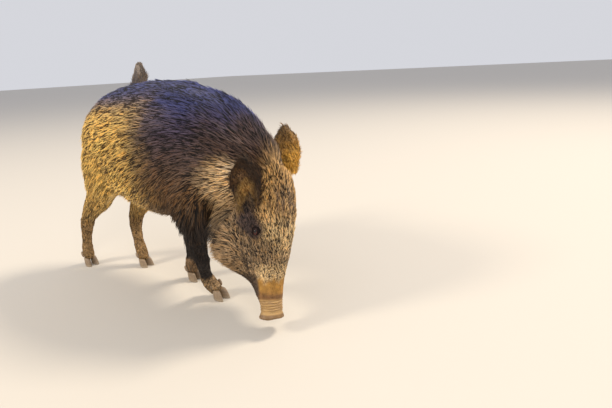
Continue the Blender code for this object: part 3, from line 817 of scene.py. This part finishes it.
    # The left ear: tan hair in painted sunlight, brightest low at the front, with painted shade on its upper
    # rear rim
    lay(EAR_TAN, left_ear * (0.75 + 0.25 * step(0.60, 0.50, z)))
    lay(EAR_DARK_AND_SHADE, left_ear * 0.55 * step(0.52, 0.60, z) * step(0.46, 0.41, x))
    # The right ear: dark hair, partly painted shade, with its pale tuft in painted sunlight
    lay(EAR_DARK_AND_SHADE, right_ear)
    lay(EAR_LIT, 0.8 * left_ear * step(0.57, 0.50, z) * step(0.43, 0.46, x))
    lay(EAR_BROWN, 0.85 * right_ear * blob(points, (0.466, -0.116, 0.494), (0.034, 0.040, 0.040)))
    lay(EAR_TUFT, ear_tuft)
    lay(TAIL_GREY, on("tail"))
    parting = step(0.02, 0.22, 1.0 - np.linalg.norm(field.smooth(lie, 4, 1.0), axis=1))
    parting = np.maximum.reduce([parting, flank_fold, blob(points, CROWN_WHORL, (0.030,) * 3)])
    root += parting[:, None] * (0.50 * tip - root)
    mottle = 1.0 + 0.20 * wobble(0.030, 5) * (on_head + 0.6 * trunk)
    return field.smooth(root, 1), np.clip(field.smooth(tip, 1) * mottle[:, None], 0.0, 1.0)


root_colour, tip_colour = markings()


KEPT = {"lie": lie, "hair_length": length, "hair_width": width, "hair_stand": stand, "hair_fill": fill,
        "root_colour": root_colour, "tip_colour": tip_colour}
SKIN_ONLY = {"bare": bare, "along_head": along, "wrinkled": on_head * wrinkle_mask(head_points)}
for name, values in (KEPT | SKIN_ONLY).items():
    keep(skin.data, name, values)


# ------------ bristle tufts
def tuft_mesh(name, bend, sway):
    """One tuft of bristles, a unit long and wide: a spindle with its root and tip drawn to points."""
    middle = 0.36
    verts = [(0.0, 0.0, -0.25)]
    patch = [(0.0, 0.5, 0.0)]
    for k, (across, high) in enumerate(((-0.5, -0.12), (0.0, 0.42), (0.5, -0.12))):
        verts.append((middle, across + sway * 0.25, high - bend * 0.12))
        patch.append((middle, k / 2, 0.0))
    verts.append((1.0, sway, -bend))
    patch.append((1.0, 0.5, 0.0))
    faces = []
    for k, following in ((1, 2), (2, 3), (3, 1)):
        faces += [(0, following, k), (4, k, following)]
    mesh = closed_mesh(name, verts, faces)
    keep(mesh, "patch", np.array(patch))
    keep(mesh, "along_tuft", np.array([p[0] for p in patch]))
    return mesh


def tuft_kinds():
    """The tufts to pick from: straighter, bent, and swayed to either side."""
    box = bpy.data.collections.new("tuft_kinds")
    bpy.context.scene.collection.children.link(box)
    for k, (bend, sway) in enumerate(((0.8, 0.0), (1.6, 1.8), (1.6, -1.8), (2.6, 0.6))):
        ob = bpy.data.objects.new(f"tuft_{k}", tuft_mesh(f"tuft_{k}", bend, sway))
        box.objects.link(ob)
    return box


def coat_tree(kinds):
    """Sets tufts on a surface along its lie, and lays each one's patch on the surface's unwrap."""
    t = new_group("bristle_coat", "GeometryNodeTree", {
        "Surface": "Geometry", "Tufts per square metre": "Float", "Ruffle": "Float",
        "Locks per metre": "Vector", "Seed": "Int", "Finish": "Material"}, {"Coat": "Geometry"})
    given = t.add("NodeGroupInput").outputs
    ruffle = given["Ruffle"]
    density = t.math("MULTIPLY", t.kept("hair_fill"), given["Tufts per square metre"])
    spread = t.add("GeometryNodeDistributePointsOnFaces", {
        "Mesh": given["Surface"], "Seed": given["Seed"], "Density": density},
        distribute_method="RANDOM").outputs
    seats = t.store(spread["Points"], "surface_normal", "FLOAT_VECTOR", "POINT", spread["Normal"])
    where = t.add("GeometryNodeInputPosition").outputs[0]
    patchy = t.noise(t.vector("MULTIPLY", where, given["Locks per metre"]), 1.0, 2.0, Roughness=0.6)[0]
    patchy = t.math("MULTIPLY", t.math("SUBTRACT", patchy, 0.5), 1.9)
    seats = t.store(seats, "lock", "FLOAT", "POINT", patchy)

    # Which way each tuft goes: with the lie, off the surface by its stand, and ruffled
    normal = t.kept("surface_normal", "FLOAT_VECTOR")
    stand = t.math("MULTIPLY", t.kept("hair_stand"), t.random("FLOAT", 0.45, 1.35, 3))
    way = t.vector("ADD", t.kept("lie", "FLOAT_VECTOR"), t.scaled(normal, stand))
    swirl, clump = [t.vector("SUBTRACT", t.noise(where, scale, detail)["Color"], (0.5, 0.5, 0.5))
                    for scale, detail in ((11.0, 2.0), (60.0, 1.0))]
    loose = t.random("FLOAT_VECTOR", (-1, -1, -1), (1, 1, 1))
    for push, share in ((swirl, 1.3), (clump, 1.1), (loose, 0.17)):
        way = t.vector("ADD", way, t.scaled(push, t.math("MULTIPLY", ruffle, share)))
    turn = t.add("FunctionNodeAxesToRotation", {0: way, 1: normal}, primary_axis="X", secondary_axis="Z")

    long = t.math("MULTIPLY", t.kept("hair_length"), t.random("FLOAT", 0.62, 1.28, 5))
    ragged = t.math("MULTIPLY", t.math("SUBTRACT", t.noise(where, 85.0, 1.0)[0], 0.5), 2.4)
    long = t.math("MULTIPLY", long, t.math("ADD", t.math("MULTIPLY", ragged, ruffle), 1.0))
    wide = t.math("MULTIPLY", t.kept("hair_width"), t.random("FLOAT", 0.65, 1.35, 6))
    size = t.add("ShaderNodeCombineXYZ", {"X": long, "Y": wide, "Z": wide})
    source = t.add("GeometryNodeCollectionInfo", {"Collection": kinds, "Separate Children": True,
                                                  "Reset Children": True})
    placed = t.add("GeometryNodeInstanceOnPoints", {
        "Points": seats, "Instance": source.outputs[0], "Pick Instance": True,
        "Instance Index": t.random("INT", 0, len(kinds.objects) - 1),
        "Rotation": turn.outputs[0], "Scale": size.outputs[0]})
    shade = t.math("ADD", t.random("FLOAT", -0.20, 1.46, 9), t.kept("lock"))
    shaded = t.store(placed.outputs[0], "tuft_shade", "FLOAT", "INSTANCE", shade)
    real = t.add("GeometryNodeRealizeInstances", {"Geometry": shaded})
    patch = t.vector("SUBTRACT", t.kept("patch", "FLOAT_VECTOR"), (0.5, 0.5, 0.0))
    unwrap = t.vector("ADD", t.kept("unwrap", "FLOAT_VECTOR"), t.scaled(patch, PATCH_SIZE))
    laid = t.store(real.outputs[0], "OFBake", "FLOAT2", "CORNER", unwrap)
    finish = t.add("GeometryNodeSetMaterial", {"Geometry": laid, "Material": given["Finish"]})
    t.add("NodeGroupOutput", {"Coat": finish.outputs[0]})
    return t.tree


# ------------ finishes
def grizzle_group():
    """Bristles dark at the root and pale at the tip, some of them dark all along."""
    t = new_group("grizzle", "ShaderNodeTree", {
        "Root Colour": "Color", "Tip Colour": "Color", "Along": "Float", "Shade": "Float"},
        {"Colour": "Color", "Roughness": "Float"})
    given = t.add("NodeGroupInput").outputs
    start = t.math("MULTIPLY", given["Shade"], 0.95)
    band = t.math("SUBTRACT", t.math("ADD", given["Along"], 0.245), start)
    band = t.math("MULTIPLY", band, 2.6, clamp=True)
    turn = t.math("FRACT", t.math("MULTIPLY", given["Shade"], 9.7))
    warm = t.math("MULTIPLY", t.ramp(turn, 0.66, 6.0), 0.65)
    tip = t.mix(warm, given["Tip Colour"], (1.30, 1.06, 0.68), "MULTIPLY")
    t.add("NodeGroupOutput", {"Colour": t.mix(band, given["Root Colour"], tip),
                              "Roughness": t.math("SUBTRACT", 0.66, t.math("MULTIPLY", band, 0.14))})
    return t.tree


def grizzled(t, along, shade):
    """Outputs of the grizzle group, fed with the colours kept on the mesh."""
    return t.add("ShaderNodeGroup", {
        "Root Colour": t.read("root_colour")["Color"], "Tip Colour": t.read("tip_colour")["Color"],
        "Along": along, "Shade": shade}, node_tree=GRIZZLE).outputs


def coat_material():
    mat, t, shader = new_material("bristle_coat")
    hair = grizzled(t, t.read("along_tuft")["Fac"], t.read("tuft_shade")["Fac"])
    t.feed(shader, {"Base Color": hair["Colour"], "Roughness": hair["Roughness"],
                    "Specular IOR Level": 0.35})
    return mat


def skin_material():
    """Hide with short hair in its grain, and bare folded skin on the snout with painted shade in its folds.
    """
    mat, t, shader = new_material("hide")
    place = t.place()
    grain = t.noise(place, 420.0, 3.0)[0]
    patch = t.noise(place, 70.0, 2.0)[0]
    pores = t.add("ShaderNodeTexVoronoi", {"Vector": place, "Scale": 620.0}).outputs["Distance"]
    hair = grizzled(t, grain, patch)
    bare_here = t.read("bare")["Fac"]
    turn = t.math("MULTIPLY", t.read("along_head")["Fac"], 780.0)
    turn = t.math("ADD", turn, t.math("MULTIPLY", patch, 11.0))
    fold = t.math("MULTIPLY_ADD", t.math("SINE", turn), 0.5, 0.5)
    fold = t.math("MULTIPLY", fold, t.read("wrinkled")["Fac"])
    bare_tone_and_fold_shade = t.mix(patch, t.read("root_colour")["Color"], t.read("tip_colour")["Color"])
    # Painted shade in the snout's folds, where the bump sinks
    bare_tone_and_fold_shade = t.mix(t.math("MULTIPLY", fold, 0.42), bare_tone_and_fold_shade, (0.16, 0.078, 0.036))
    speck = t.math("GREATER_THAN", patch, 0.60)
    bare_tone_and_fold_shade = t.mix(t.math("MULTIPLY", speck, 0.25), bare_tone_and_fold_shade, (0.22, 0.12, 0.07))
    rough = t.math("ADD", 0.34, t.math("MULTIPLY", grain, 0.25))
    height = t.math("SUBTRACT", grain, t.math("MULTIPLY", fold, 1.6))
    pitted = t.math("MULTIPLY", t.math("MULTIPLY", pores, bare_here), 0.6)
    t.feed(shader, {"Base Color": t.mix(bare_here, hair["Colour"], bare_tone_and_fold_shade),
                    "Roughness": t.mix_numbers(bare_here, hair["Roughness"], rough),
                    "Normal": t.bump(t.math("ADD", height, pitted), 0.55, 0.0012)})
    return mat


def eye_material():
    """A wet dark eye: black pupil, brown iris and a darker white."""
    mat, t, shader = new_material("wet_eye")
    threads = t.noise(t.place(), 900.0, 2.0)[0]
    turn = t.read("iris")["Fac"]
    iris = t.mix(threads, (0.008, 0.004, 0.003), (0.035, 0.016, 0.008))
    colour = t.mix(t.ramp(turn, 0.26, 14.0), (0.003, 0.003, 0.004), iris)
    t.feed(shader, {"Base Color": t.mix(t.ramp(turn, 0.66, 9.0), colour, (0.060, 0.030, 0.022)),
                    "Roughness": t.mix_numbers(threads, 0.10, 0.20)})
    return mat


def lid_material():
    """Thin dark skin with fine creases, red along the wet edge."""
    mat, t, shader = new_material("eyelid_skin")
    crease = t.noise(t.place(), 650.0, 3.0)[0]
    wet = t.read("wet_edge")["Fac"]
    tone = t.mix(crease, (0.003, 0.002, 0.002), (0.018, 0.011, 0.010))
    t.feed(shader, {"Base Color": t.mix(wet, tone, (0.145, 0.036, 0.028)),
                    "Roughness": t.mix_numbers(wet, 0.80, 0.30), "Specular IOR Level": 0.15,
                    "Normal": t.bump(crease, 0.5, 0.0005)})
    return mat


def horn_material():
    """Claw horn: streaks down the wall, growth rings across it, dusty at the sole edge."""
    mat, t, shader = new_material("claw_horn")
    place = t.place()
    streak, ring = [
        t.noise(t.add("ShaderNodeMapping", {"Vector": place, "Scale": scale}).outputs[0], 1.0, detail)[0]
        for scale, detail in (((520.0, 520.0, 26.0), 3.0), ((30.0, 30.0, 330.0), 2.0))]
    high = t.add("ShaderNodeSeparateXYZ", {"Vector": place}).outputs["Z"]
    colour = t.mix(streak, (0.130, 0.088, 0.055), (0.400, 0.290, 0.185))
    ringed = t.math("MULTIPLY", t.ramp(ring, 0.45, 2.2), 0.5)
    colour = t.mix(ringed, colour, (0.085, 0.055, 0.038))
    dusty = t.math("SUBTRACT", 1.0, t.math("MULTIPLY", high, 90.0), clamp=True)
    colour = t.mix(t.math("MULTIPLY", dusty, 0.7), colour, (0.400, 0.330, 0.250))
    height = t.math("ADD", t.math("MULTIPLY", ring, 0.7), streak)
    t.feed(shader, {"Base Color": colour, "Roughness": t.mix_numbers(streak, 0.38, 0.62),
                    "Normal": t.bump(height, 0.6, 0.0007)})
    return mat


GRIZZLE = grizzle_group()
skin.data.materials.clear()
skin.data.materials.append(skin_material())
BRISTLES = coat_material()


# ------------ eyes and lids
LID_AROUND = 40
# Lid rows over the ball, from the wet edge out: share of the way to the outer edge, height, redness
LID_ROWS = ((0.00, -0.0003, 1.0), (0.03, 0.0006, 1.0), (0.09, 0.0014, 0.55), (0.18, 0.0017, 0.10),
            (0.28, 0.0010, 0.0), (0.38, 0.0004, 0.0), (0.50, 0.0012, 0.0), (0.62, 0.0010, 0.0))
# Then rows on the skin, by their distance from the middle of the eye in eye radii, and rows back inside
SKIN_ROWS = ((0.98, 0.0011), (1.10, 0.0008), (1.24, 0.0002), (1.36, -0.0014))
INNER_ROWS = ((0.60, -0.0022), (0.15, -0.0012))
LID_WIDE = math.radians(48)
LID_UPPER = math.radians(15)
LID_LOWER = math.radians(13)
LID_OUTER = math.radians(74)


def eye_frame(side):
    """Out of the eye, along its slit, and up across the slit."""
    out = Vector((0.16, side * 0.90, 0.38)).normalized()
    slit = Vector((1.0, 0.0, -0.22))
    slit = (slit - out * slit.dot(out)).normalized()
    return out, slit, slit.cross(out) * side


def in_eye(side, angle, turn, radius):
    """A spot over the ball, at an angle from its axis and a turn round it."""
    out, slit, rise = eye_frame(side)
    way = out * math.cos(angle) + (slit * math.cos(turn) + rise * math.sin(turn)) * math.sin(angle)
    return HEAD @ (Vector((EYE_ALONG, side * EYE_SIDE, EYE_UP)) + way * radius)


def eye_piece(name, verts, faces, kept, values):
    """A closed smooth piece that keeps a number at each point."""
    mesh = closed_mesh(name, verts, faces)
    shade_smooth(mesh)
    keep(mesh, kept, np.array(values))
    return link(name, mesh)


def on_skin(tree, side, turn, reach, over):
    """A spot on the skin, so many eye radii from the middle of the eye."""
    out, slit, rise = (HEAD.to_3x3() @ way for way in eye_frame(side))
    spot = eye_place(side)
    spot += (slit * math.cos(turn) + rise * math.sin(turn)) * EYE_RADIUS * reach
    found = tree.ray_cast(spot + out * 0.03, -out, 0.06)[0]
    return found + out * over


def eyelids(name, side, tree):
    """A ring of lid: over the ball from the slit out, on over the skin, and back inside."""
    verts, red = [], []
    turns = [2 * math.pi * k / LID_AROUND for k in range(LID_AROUND)]

    def ball_row(share, over, redness):
        for turn in turns:
            rise = math.sin(turn)
            tall = LID_UPPER if rise > 0 else LID_LOWER
            wide = LID_WIDE + share * (LID_OUTER - LID_WIDE)
            tall += share * (LID_OUTER - tall)
            angle = 1.0 / math.hypot(math.cos(turn) / wide, rise / tall)
            pucker = 0.0010 * math.sin(11 * turn) * share * (1 - share)
            verts.append(in_eye(side, angle, turn, EYE_RADIUS + over + pucker))
            red.append(redness * (0.12 + 0.88 * step(0.15, 0.75, math.cos(turn - 0.5))))

    for row in LID_ROWS:
        ball_row(*row)
    for reach, over in SKIN_ROWS:
        for turn in turns:
            verts.append(on_skin(tree, side, turn, reach * (1.0 + 0.03 * math.sin(5 * turn)), over))
            red.append(0.0)
    for share, over in INNER_ROWS:
        ball_row(share, over, 0.0)
    faces = []
    rows = len(verts) // LID_AROUND
    for row in range(rows):
        for k in range(LID_AROUND):
            near, far = k, (k + 1) % LID_AROUND
            a, b = row * LID_AROUND, (row + 1) % rows * LID_AROUND
            faces.append((a + near, a + far, b + far, b + near))
    return eye_piece(name, verts, faces, "wet_edge", red)


def eyeball(name, side):
    """A ball with a slight bulge in front, keeping at each point its angle from the axis."""
    around, rows = 32, 18
    verts = [in_eye(side, 0.0, 0.0, EYE_RADIUS * 1.03)]
    iris = [0.0]
    for row in range(1, rows):
        angle = math.pi * row / rows
        bulge = 1.0 + 0.03 * math.exp(-(angle / 0.5) ** 2)
        for k in range(around):
            verts.append(in_eye(side, angle, 2 * math.pi * k / around, EYE_RADIUS * bulge))
            iris.append(angle)
    verts.append(in_eye(side, math.pi, 0.0, EYE_RADIUS))
    iris.append(math.pi)
    last = len(verts) - 1
    faces = []
    for k in range(around):
        far = (k + 1) % around
        faces.append((0, 1 + k, 1 + far))
        faces.append((last, last - around + far, last - around + k))
        for row in range(rows - 2):
            a, b = 1 + row * around, 1 + (row + 1) * around
            faces.append((a + k, b + k, b + far, a + far))
    return eye_piece(name, verts, faces, "iris", iris)


def add_eyes():
    ball_finish = eye_material()
    lid_finish = lid_material()
    tree = BVHTree.FromPolygons([v.co for v in skin.data.vertices],
                                [p.vertices for p in skin.data.polygons])
    for side, word in ((-1, "right"), (1, "left")):
        ball = eyeball(word + "_eyeball", side)
        ball.data.materials.append(ball_finish)
        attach(ball, "root")
        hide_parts(word + "_eye")
        lids = eyelids(word + "_eyelids", side, tree)
        lids.data.materials.append(lid_finish)
        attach(lids, "root")


# ------------ claws
def claws(foot, finish):
    """The two claws and two dewclaws of a foot, rounded, with growth rings round the walls."""
    parts = [name for name in nodes if name.startswith(foot) and name.endswith("claw")]
    bm = bmesh.new()
    for part in parts:
        bm.from_mesh(nodes[part].data)
    bmesh.ops.remove_doubles(bm, verts=bm.verts, dist=1e-5)
    bmesh.ops.join_triangles(bm, faces=bm.faces, angle_face_threshold=0.7, angle_shape_threshold=1.2)
    crease = bm.edges.layers.float.new("crease_edge")
    for edge in bm.edges:
        if max(v.co.z for v in edge.verts) < 0.0005:
            edge[crease] = 1.0
    ob = link(foot + "_claws", mesh_from(bm, foot + "_claws"))
    round_off = ob.modifiers.new("Round", "SUBSURF")
    round_off.levels = round_off.render_levels = 2
    applied(ob)
    points = points_of(ob.data)
    ringed = 0.00022 * np.sin(points[:, 2] * 2 * math.pi / 0.0052) * step(0.002, 0.005, points[:, 2])
    points = points + normals_of(ob.data) * ringed[:, None]
    points[:, 2] = np.maximum(points[:, 2], 0.0)
    set_points(ob.data, points)
    shade_smooth(ob.data)
    ob.data.materials.clear()
    ob.data.materials.append(finish)
    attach(ob, "root")
    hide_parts(*parts)


add_eyes()
HORN_FINISH = horn_material()
for foot in ("right_fore", "left_fore", "right_hind", "left_hind"):
    claws(foot, HORN_FINISH)


# ------------ the coat, piece by piece
def unwrap_of(at):
    """The skin's own shape rolled out flat: round the trunk or limb one way and along it the other."""
    centre = at.mean(0)
    spread = at - centre
    axis = np.linalg.svd(spread[:: max(1, len(spread) // 4000)], full_matrices=False)[2][0]
    run = spread @ axis
    side = np.cross(axis, (0.0, 0.0, 1.0) if abs(axis[2]) < 0.8 else (1.0, 0.0, 0.0))
    side /= np.linalg.norm(side)
    other = np.cross(axis, side)
    turn = np.arctan2(spread @ other, spread @ side)
    return run, turn


def coat_piece(name, words, count, ruffle, locks, seed, mask=True):
    """The coat over some of the skin: a copy of those faces, set with tufts."""
    wanted = (on(*words) > 0) & mask
    chosen = [f for f in SKIN_FACES if sum(wanted[list(f)]) * 2 > len(f)]
    used = np.unique(np.concatenate([np.array(f) for f in chosen]))
    back = np.full(len(points), -1)
    back[used] = np.arange(len(used))
    part = bpy.data.meshes.new(name)
    part.from_pydata(points[used].tolist(), [], [tuple(int(back[i]) for i in f) for f in chosen])
    shade_smooth(part)
    for key, values in KEPT.items():
        keep(part, key, values[used])
    run, turn = unwrap_of(points[used])
    corner = np.empty(len(part.loops), np.int32)
    part.loops.foreach_get("vertex_index", corner)
    sizes = [len(f) for f in chosen]
    owner = np.repeat(np.arange(len(chosen)), sizes)
    first = np.concatenate([[0], np.cumsum(sizes)[:-1]])
    angle = turn[corner]
    lead = angle[first][owner]
    angle = lead + (angle - lead + math.pi) % (2 * math.pi) - math.pi
    u = (angle + math.pi) / (2 * math.pi)
    v = (run[corner] - run.min()) / np.ptp(run)
    unwrap = np.stack([0.02 + 0.96 * np.clip(u, 0, 1), 0.02 + 0.96 * v, np.zeros(len(u))], 1)
    keep(part, "unwrap", unwrap, "CORNER")
    coat = link(name, part)
    area = sum(p.area * float(np.mean(fill[list(f)])) for p, f in zip(part.polygons, chosen))
    grow = coat.modifiers.new("Coat", "NODES")
    grow.node_group = COAT_TREE
    values = {"Tufts per square metre": count / area, "Ruffle": ruffle, "Locks per metre": locks,
              "Seed": seed, "Finish": BRISTLES}
    for item in COAT_TREE.interface.items_tree:
        if item.in_out == "INPUT" and item.name in values:
            grow[item.identifier] = values[item.name]
    applied(coat)
    for extra in ("lie", "hair_length", "hair_width", "hair_stand", "hair_fill", "unwrap",
                  "patch", "surface_normal", "lock"):
        if extra in coat.data.attributes:
            coat.data.attributes.remove(coat.data.attributes[extra])
    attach(coat, "root")


kinds = tuft_kinds()
COAT_TREE = coat_tree(kinds)
SKIN_FACES = [tuple(p.vertices) for p in skin.data.polygons]
TRUNK_LOCKS = (30.0, 150.0, 180.0)
NECK_LOCKS = (60.0, 150.0, 160.0)
HEAD_LOCKS = (230.0, 230.0, 85.0)
LEG_LOCKS = (190.0, 190.0, 60.0)
face_side = (up > -0.048) | (along > 0.27)
coat_piece("coat_rump", ("rump",), 31000, 0.38, TRUNK_LOCKS, 1)
coat_piece("coat_barrel", ("barrel",), 31000, 0.38, TRUNK_LOCKS, 2)
coat_piece("coat_shoulders", ("shoulders",), 31000, 0.38, TRUNK_LOCKS, 3)
coat_piece("coat_neck", ("neck",), 31000, 0.50, NECK_LOCKS, 4)
coat_piece("coat_face", HEAD_SOLIDS, 31000, 0.45, HEAD_LOCKS, 5, face_side)
coat_piece("coat_cheeks", HEAD_SOLIDS, 24000, 1.10, HEAD_LOCKS, 9, ~face_side)
coat_piece("coat_legs", ("forearm", "gaskin", "cannon", "foot"), 30000, 0.35, LEG_LOCKS, 6)
coat_piece("coat_ears", ("ear",), 11000, 0.9, HEAD_LOCKS, 7)    # and some more on the forearms
coat_piece("coat_tail", ("tail",), 4500, 0.5, HEAD_LOCKS, 8)
for ob in list(kinds.objects):
    bpy.data.objects.remove(ob)
bpy.data.collections.remove(kinds)

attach(skin, "root")
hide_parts(*FLESH)
